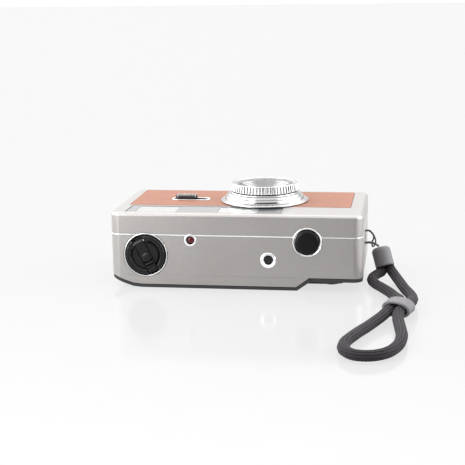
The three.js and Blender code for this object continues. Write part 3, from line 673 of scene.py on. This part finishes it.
def make_ferrule():
    """A soft cap with a round shoulder. Its open end stands a little over the ends of the cord."""
    length = (FERRULE_END - FERRULE_TOP).length
    r = FERRULE_R
    inner = r - FERRULE_WALL
    steps = 8
    shoulder = []
    for i in range(steps + 1):
        a = math.pi / 2 * i / steps
        out, down = FERRULE_SHOULDER * math.sin(a), FERRULE_SHOULDER * math.cos(a)
        shoulder.append((r - FERRULE_SHOULDER + out, -FERRULE_SHOULDER + down))
    mouth = length + 0.5
    profile = [(0, 0.0), *shoulder, (r, -mouth + 0.4), (r - 0.4, -mouth), (inner, -mouth)]
    profile += [(inner, -length + 0.05), (0, -length + 0.05)]
    obj = lathe("strap_ferrule_fine", profile, Vector((0, 0, 0)), sides=96)
    turn = Vector((0, 0, -1)).rotation_difference(FERRULE_AXIS).to_matrix().to_4x4()
    obj.data.transform(Matrix.Translation(FERRULE_TOP * MM) @ turn)
    return stand_for(soften(obj, 0.1), "strap_ferrule")


def make_slider():
    """A thick oval band round both strands, leaning with them."""
    half_x, half_y, half_z = 6.4, 3.0, 3.7
    hole_x, hole_z = 5.3, 2.72
    squareness = 0.86
    # How far in from the widest outline, and where along the band as a share of its half length.
    rows = [(0.35, -1), (0.0, -0.88), (0.0, -0.5), (0.12, 0.0), (0.0, 0.5), (0.0, 0.88), (0.35, 1)]
    sides = 96
    verts, faces = [], []
    for i in range(sides):
        a = 2 * math.pi * i / sides
        u, w = (math.copysign(abs(f(a)) ** squareness, f(a)) for f in (math.cos, math.sin))
        for inward, y in rows:
            verts.append(Vector(((half_x - inward) * u, half_y * y, (half_z - inward) * w)) * MM)
        for y in (half_y, -half_y):
            verts.append(Vector((hole_x * math.cos(a), y, hole_z * math.sin(a))) * MM)
    n = len(rows) + 2
    for i in range(sides):
        k = (i + 1) % sides
        for j in range(n):
            faces.append((i * n + j, i * n + (j + 1) % n, k * n + (j + 1) % n, k * n + j))
    obj = new_object("strap_slider_fine", verts, faces)
    lean = Matrix.Rotation(SLIDER_TURN, 4, "Z") @ Matrix.Rotation(SLIDER_LEAN, 4, "X")
    obj.data.transform(Matrix.Translation(SLIDER_AT * MM) @ lean)
    return stand_for(soften(obj, 0.1), "strap_slider")


strap_ferrule = make_ferrule()
strap_slider = make_slider()

# ---- casing ----
CORNER_R = 4.4
CORNER_STEPS = 12
# How far the bright lip at the upper seam stands out of the casing. The lip's bright trim finish is a
# painted highlight along the seam.
SEAM_BEAD = 0.09
# The shells are 0.3 mm apart in the CAD, and their edges are moved until this much is left.
SEAM_GAP = 0.3
SEAM_LEFT = 0.03
# At the door's seam, each edge's height in the CAD and the height it is moved to.
HOUSING_EDGE = (6.15, 6.02)
DOOR_EDGE = (5.85, 5.99)
# The window panes fill their frames: each side moves out by this much.
PANE_GROWTH = 0.24


def meet(obj, from_level, to_level):
    """Moves a shell's flat seam edge, so that it nearly meets its neighbour."""
    tolerance = 0.01 * MM
    for v in obj.data.vertices:
        if abs(v.co.z - from_level * MM) < tolerance:
            v.co.z = to_level * MM
    return obj


def seam_bead(name, node, outline, level, holes):
    """A narrow rounded lip where two shells meet: outline(offset) gives the shell's edge, moved out.
    Its bright trim finish, much lighter than the silver paint, is a painted highlight along the seam.

    It is left out inside each hole of the top plate, given as a node and a radius around its middle."""
    # The lip's section: how far out of the casing's side, and how far above the seam.
    rows = [
        (-0.3, -0.5),
        (0.0, -0.5),
        (SEAM_BEAD, -0.24),
        (SEAM_BEAD * 0.8, -0.12),
        (0.0, 0.02),
        (-0.3, 0.02),
    ]
    longest_step = 0.4
    edge = [Vector(p) for p in outline(0)]
    steps = [max(1, round((b - a).length / longest_step)) for a, b in zip(edge, edge[1:] + edge[:1])]
    verts = []
    for offset, rise in rows:
        line = [Vector(p) for p in outline(offset)]
        for a, b, count in zip(line, line[1:] + line[:1], steps):
            spots = [a.lerp(b, k / count) for k in range(count)]
            verts += [Vector((spot.x, spot.y, level + rise)) * MM for spot in spots]
    n = sum(steps)
    circles = [(centre_mm(around), radius) for around, radius in holes]

    def solid_at(i):
        spot = verts[n + i] / MM
        if spot.y > 0:
            return True
        return all(math.hypot(spot.x - c.x, level - c.z) > radius for c, radius in circles)

    faces = []
    for i in range(n):
        after = (i + 1) % n
        if not (solid_at(i) and solid_at(after)):
            continue
        for r in range(len(rows)):
            up = (r + 1) % len(rows)
            faces.append((r * n + i, up * n + i, up * n + after, r * n + after))
    bead = new_object(name, verts, faces)
    # The bright trim finish is a painted highlight: it makes the seam show as a light line.
    stand_beside(soften(bead, 0), node, "bright_trim")


def make_casing():
    lo, hi = box_mm("main_housing")
    cover = meet(copy_of("front_cover"), hi.z + SEAM_GAP, hi.z + SEAM_LEFT)
    stand_for(soften(cover, 0.05), "front_cover")
    housing = meet(copy_of("main_housing"), *HOUSING_EDGE)
    stand_for(soften(housing, 0.05), "main_housing")
    door = meet(copy_of("back_door"), *DOOR_EDGE)
    stand_for(soften(door, 0.07), "back_door")

    def whole(offset):
        x0, x1 = lo.x - offset, hi.x + offset
        y0, y1 = lo.y - offset, hi.y + offset
        return rounded_rect(x0, x1, y0, y1, CORNER_R + offset, CORNER_STEPS)

    holes = [("led_ring", 2.6), ("shutter_button_ring", 6.6), ("rewind_bezel", 10.0)]
    seam_bead("upper_seam_highlight_bead", "main_housing", whole, hi.z, holes)
    for node in ("back_skin", "rear_deck", "battery_door"):
        refined(node, 0.14)
    refined("leatherette", 0.09)
    refined("window_strip", 0.06)
    for node, finish in (("flash_window", "frosted_window"), ("viewfinder_window", "pale_window")):
        pane = copy_of(node)
        c = centre_mm(node) * MM
        for v in pane.data.vertices:
            v.co.x += math.copysign(PANE_GROWTH * MM, v.co.x - c.x)
            v.co.y += math.copysign(PANE_GROWTH * MM, v.co.y - c.y)
        stand_for(soften(pane, 0.03), node, finish)


make_casing()


# ---- lens ----
# A turned piece's outline is a list of its radius and height at each corner, in millimetres.
GRIP_RIBS = 62
STEPS_INSIDE = 6
GLASS_R = 4.9
GLASS_EDGE = 37.6
GLASS_BULGE = 1.25


def knurl(ribs, depth, low, high):
    """Straight ribs round a rim, between two heights, with flat tops wider than the grooves."""

    def radius(r, h, a):
        if not low < h < high:
            return r
        wave = math.cos(ribs * a)
        return r - depth * (0.5 - 0.5 * max(-1.0, min(1.0, 2.4 * wave + 0.9)))

    return radius


def make_lens():
    c = centre_mm("lens_flange")
    flange = [
        (13.4, 31), (16.9, 31), (16.9, 35.3), (20.9, 35.3), (20.9, 35.8), (19.3, 36.55), (18.75, 36.6),
        (18.7, 37.2), (18.5, 37.8), (17.9, 38.1), (17.6, 38.1), (17.55, 38.6), (17.2, 39.2), (16.5, 39.45),
        (16.1, 39.45), (16.0, 39.9), (15.6, 40.1), (13.4, 40.1), (13.4, 31),
    ]
    turned("lens_flange", flange, c, 0.08, sides=160, material="lens_silver")
    grip = [
        (13.6, 40.4), (15.7, 40.4), (16.15, 40.6), (16.15, 40.64), (15.6, 43.82), (15.6, 43.86),
        (15.4, 44.02), (15.1, 44.1), (14.6, 44.1), (14.45, 43.9), (14.3, 43.2), (13.6, 43.2), (13.6, 40.4),
    ]
    ribs = knurl(GRIP_RIBS, 0.55, 40.62, 43.84)
    turned("lens_grip_ring", grip, c, 0, sides=GRIP_RIBS * 10, radius=ribs, material="lens_grip")
    front = [(5.2, 37.2), (13.1, 37.2), (13.1, 42.7), (12.5, 42.8)]
    for i in range(STEPS_INSIDE):
        r = 12.2 - 1.1 * i
        h = 42.4 - 0.55 * i
        front += [(r, h), (r - 0.15, h - 0.42), (r - 0.95, h - 0.42)]
    front += [(5.4, 39.1), (5.2, 37.2)]
    turned("lens_front_ring", front, c, 0.05, sides=160, material="lens_inner")
    glass = [(0, 35.9), (GLASS_R, 36.4), (GLASS_R, GLASS_EDGE)]
    dome = 12
    for i in range(1, dome):
        a = math.pi / 2 * i / dome
        glass.append((GLASS_R * math.cos(a), GLASS_EDGE + GLASS_BULGE * math.sin(a)))
    glass.append((0, GLASS_EDGE + GLASS_BULGE))
    turned("front_lens_element", glass, c, 0.05, sides=96, material="lens_glass")
    refined("rear_lens_element", 0.05, material="lens_glass")
    for node in ("lens_barrel", "shutter_plate", "shutter_blade"):
        refined(node, 0.06)


make_lens()


# ---- top controls ----
CRANK_ANGLE = math.radians(63.4)
CRANK_PIVOT = Vector((-6.5, -31.4, 0))
KNOB_RIBS = 54


def placed_on_knob(obj):
    """Turns a piece made round the origin the way the crank points, and puts it on the knob's axis."""
    c = centre_mm("rewind_bezel") * MM
    obj.data.transform(Matrix.Translation((c.x, 0, c.z)) @ Matrix.Rotation(CRANK_ANGLE, 4, "Y"))
    return obj


def make_rewind():
    """The knurled knob with a slot across it, and the crank that folds down into the slot."""
    origin = Vector((0, 0, 0))
    knob_profile = [
        (0, -31.75), (5.6, -31.75), (5.9, -31.6), (6.15, -31.0), (6.6, -31.0), (6.9, -31.75), (7.4, -32.1),
        (8.3, -32.1), (8.9, -31.8), (9.2, -31.4), (9.2, -31.3), (9.2, -28.8), (9.1, -28.6), (0, -28.6),
    ]
    side = knurl(KNOB_RIBS, 0.35, -31.35, -28.7)
    knob = lathe("rewind_knob_fine", knob_profile, origin, "Y", sides=KNOB_RIBS * 6, radius=side)
    slot = block("slot", (-20, -40, -2.65), (20, -29.7, 2.65))
    shaft_hole = rod("shaft_hole", 1.7, (-40, -20), origin, "Y", 32)
    pin_hole = rod("pin_hole", 0.75, (-4.4, 4.4), CRANK_PIVOT, "Z", 24)
    lugs = [block("lug", (-7.9, -32.35, z0), (-5.1, -30.5, z0 + 2.1)) for z0 in (-4.9, 2.8)]
    combine(knob, lugs, "UNION")
    combine(knob, [slot, shaft_hole, pin_hole], "DIFFERENCE")
    stand_for(placed_on_knob(soften(knob, 0.17)), "rewind_knob", "dark_knob")

    arm = block("rewind_crank_fine", (-7.5, -31.9, -2.35), (8.3, -30.3, 2.35))
    boss_profile = [(0, -32.3), (1.5, -32.25), (2.0, -31.9), (2.0, -31), (0, -31)]
    boss = lathe("boss", boss_profile, Vector((1.2, 0, 0)), "Y", 40)
    ribs = [block("rib", (x - 0.36, -32.75, -1.8), (x + 0.36, -31.5, 1.8)) for x in (4.2, 5.7, 7.2)]
    barrel = rod("barrel", 1.15, (-2.3, 2.3), CRANK_PIVOT, "Z", 40)
    combine(arm, [boss, barrel, *ribs], "UNION")
    hollows = [block("hollow", (x - 0.37, -33, -1.75), (x + 0.37, -31.2, 1.75)) for x in (4.95, 6.45)]
    fold = block("fold", (-1.3, -33, -5), (-1.0, -31.65, 5))
    pin_hole = rod("pin_hole", 0.7, (-4.4, 4.4), CRANK_PIVOT, "Z", 24)
    combine(arm, [*hollows, fold, pin_hole], "DIFFERENCE")
    stand_for(placed_on_knob(soften(arm, 0.13)), "rewind_crank", "dark_knob")
    for node in ("crank_pin", "rewind_shaft", "rewind_collar"):
        refined(node, 0.06)


def round_ring(node, inner, outer, low, high, lip):
    """A turned trim ring whose lip covers the edge of its hole."""
    c = centre_mm(node)
    face = box_mm("main_housing")[0].y
    profile = [
        (inner, high), (inner, low + 0.12), (inner + 0.1, low), (outer, low),
        (outer + lip * 0.7, low + 0.05), (outer + lip, face - 0.03), (outer, face - 0.02),
        (outer, high), (inner, high),
    ]
    turned(node, profile, c, 0.04, "Y")


def make_top_controls():
    make_rewind()
    round_ring("rewind_bezel", 9.65, 9.95, -31.15, -29.5, 0.2)
    round_ring("led_ring", 1.95, 2.45, -31.25, -29.5, 0.4)
    lamp = [(0, -31.05)]
    for degrees in range(10, 91, 10):
        a = math.radians(degrees)
        lamp.append((1.6 * math.sin(a), -30.2 - 0.85 * math.cos(a)))
    lamp += [(1.6, -27.5), (0, -27.5)]
    turned("led_lens", lamp, centre_mm("led_lens"), 0, "Y", sides=64)
    counter = [
        (2.0, -30.1), (2.25, -30.7), (3.0, -31.25), (3.3, -31.2), (3.6, -31.03),
        (3.2, -31.02), (3.2, -29.3), (2.0, -29.3), (2.0, -30.1),
    ]
    turned("counter_ring", counter, centre_mm("counter_ring"), 0.05, "Y", sides=96)
    refined("counter_window", 0.12, material="dark_glass")
    refined("counter_dial", 0.08)
    c = centre_mm("shutter_button")
    cup = [
        (1.5, -27.4), (6.55, -27.4), (6.55, -31.02), (6.8, -31.03), (6.65, -31.25),
        (6.4, -31.3), (6, -31.15), (6, -28.1), (1.5, -28.1), (1.5, -27.4),
    ]
    turned("shutter_button_ring", cup, c, 0.05, "Y")
    cap = [
        (0, -32.55), (2.2, -32.52), (3.9, -32.4), (4.7, -32.25), (5.2, -31.95), (5.5, -31.5), (5.6, -31.1),
        (5.6, -30.3), (4.5, -30.3), (4.5, -31), (1.05, -31), (1.05, -25.6), (0, -25.6),
    ]
    turned("shutter_button", cap, c, 0.06, "Y", material="dark_button")


make_top_controls()


# ---- flash switch, thumb wheel and the pieces that keep their CAD shape ----
CREST_COUNT = 7
CREST_STEP = 1.4
CREST_WIDTH = 0.45
CREST_HALF_LENGTH = 1.97
WHEEL_RIBS = 60


def make_flash_switch():
    """A capsule-shaped slider with a row of grip ribs, whose pale grey crests are a painted highlight on
    each rib.
    """
    lo, hi = box_mm("flash_switch_knob")
    y = centre_mm("flash_switch_knob").y
    refined("flash_switch_knob", 0.1)
    for i in range(CREST_COUNT):
        x = lo.x + 1.3 + CREST_STEP * i
        start = (x, y - CREST_HALF_LENGTH, hi.z - 1.2)
        end = (x + CREST_WIDTH, y + CREST_HALF_LENGTH, hi.z + 0.15)
        crest = soften(block("flash_switch_rib_%d" % (i + 1), start, end), 0.12)
        stand_beside(crest, "flash_switch_knob", "rib_painted_highlight")


def make_thumb_wheel():
    """The knurled winding wheel, which shows in the recess at the back."""
    c = centre_mm("thumb_wheel")
    profile = [
        (1.3, -27.2), (9.4, -27.2), (10.1, -27.0), (10.4, -26.75), (10.4, -26.7), (10.4, -24.1),
        (10.4, -24.05), (10.1, -23.8), (9.4, -23.6), (1.3, -23.6), (1.3, -27.2),
    ]
    ribs = knurl(WHEEL_RIBS, 0.45, -26.72, -24.08)
    turned("thumb_wheel", profile, c, 0, "Y", sides=WHEEL_RIBS * 8, radius=ribs)


make_flash_switch()
make_thumb_wheel()

# How wide each piece's rounded edges are.
FINE_EDGES = {
    "chassis": 0.15, "viewfinder_tunnel": 0.1, "battery_cradle": 0.1, "eyepiece": 0.15, "flash_tube": 0.1,
    "take_up_spool": 0.12, "sprocket_roller": 0.08, "door_latch": 0.12, "flash_capacitor": 0.2,
    "hinge_pin": 0.08, "release_lever": 0.1, "rewind_release_button": 0.12,
    "pressure_plate": 0.12, "case_screw_1": 0.06, "case_screw_2": 0.06, "flash_reflector": 0.12,
    "flash_switch_trim": 0.12, "wind_gear": 0.05, "idler_gear": 0.05, "pressure_spring": 0.05,
    "battery_spring": 0, "flash_board": 0.1, "battery_cell": 0.2,
}
for node, width in FINE_EDGES.items():
    refined(node, width)


# ---- floor and light ----
# How the studio's light changes with direction: axis, from, to, light before and light after.
WORLD_LIGHT = [
    ("Y", -0.3, 0.4, 0.0, 1.08),
    ("Z", 0.25, 0.65, 0.0, 2.15),
    ("X", -0.35, 0.3, 0.12, 0.0),
    ("X", 0.6, 0.92, 0.0, 5.2),
    ("X", -0.9, -0.5, 4.4, 0.0),
]
FLOOR_LEVEL = -0.15
FLOOR_GLOW = 0.78
FLOOR_MIRROR = 0.1
MIRROR_ROUGH = 0.12
SIDE_AT = Vector((-0.2, -0.3, 0.12))
SIDE_AIM = Vector((-0.05, -0.03, 0.02))
SIDE_WIDTH = 0.12
SIDE_HEIGHT = 0.3
SIDE_POWER = 0.8


def make_side_light():
    """A soft panel in front on the left, which lights the near face more on its left side."""
    lamp = bpy.data.lights.new("side_panel", "AREA")
    lamp.shape = "RECTANGLE"
    lamp.size = SIDE_WIDTH
    lamp.size_y = SIDE_HEIGHT
    lamp.energy = SIDE_POWER
    panel = collection_link(bpy.data.objects.new("side_panel", lamp))
    panel.visible_camera = False
    panel.location = SIDE_AT
    panel.rotation_euler = (SIDE_AIM - SIDE_AT).to_track_quat("-Z", "Y").to_euler()


def make_floor():
    """A pale slab that glows a little, with a faint mirror in it, just below the camera."""
    floor = block("floor", (-3000, -2500, -20), (3000, 5000, FLOOR_LEVEL))
    white = surface(
        "floor_white",
        (0.05, 0.0505, 0.051),
        (0.054, 0.0545, 0.055),
        rough=(0.6, 0.7),
        grain=40,
        bump=0.0,
        Specular_IOR_Level=0.0,
        Emission_Color=(1.0, 1.0, 1.0, 1.0),
        Emission_Strength=FLOOR_GLOW,
    )
    nodes, links = white.node_tree.nodes, white.node_tree.links
    mirror = nodes.new("ShaderNodeBsdfGlossy")
    mirror.inputs["Roughness"].default_value = MIRROR_ROUGH
    both = nodes.new("ShaderNodeMixShader")
    both.inputs[0].default_value = FLOOR_MIRROR
    links.new(nodes["Principled BSDF"].outputs[0], both.inputs[1])
    links.new(mirror.outputs[0], both.inputs[2])
    links.new(both.outputs[0], nodes["Material Output"].inputs["Surface"])
    floor.data.materials.append(white)


def make_world():
    """White light from all around, whose strength is the sum of the ramps in WORLD_LIGHT."""
    world = bpy.data.worlds.new("studio")
    bpy.context.scene.world = world
    world.use_nodes = True
    nodes, links = world.node_tree.nodes, world.node_tree.links
    background = nodes["Background"]
    split = nodes.new("ShaderNodeSeparateXYZ")
    links.new(nodes.new("ShaderNodeTexCoord").outputs["Generated"], split.inputs[0])
    total = None
    for axis, from_min, from_max, low, high in WORLD_LIGHT:
        ramp = nodes.new("ShaderNodeMapRange")
        ramp.interpolation_type = "SMOOTHSTEP"
        ramp.inputs["From Min"].default_value = from_min
        ramp.inputs["From Max"].default_value = from_max
        ramp.inputs["To Min"].default_value = low
        ramp.inputs["To Max"].default_value = high
        links.new(split.outputs[axis], ramp.inputs["Value"])
        if total is None:
            total = ramp.outputs["Result"]
            continue
        add = nodes.new("ShaderNodeMath")
        links.new(total, add.inputs[0])
        links.new(ramp.outputs["Result"], add.inputs[1])
        total = add.outputs[0]
    links.new(total, background.inputs["Strength"])
    background.inputs["Color"].default_value = (1.0, 1.0, 1.0, 1.0)
    bpy.context.scene.view_settings.view_transform = "Standard"


make_side_light()
make_floor()
make_world()
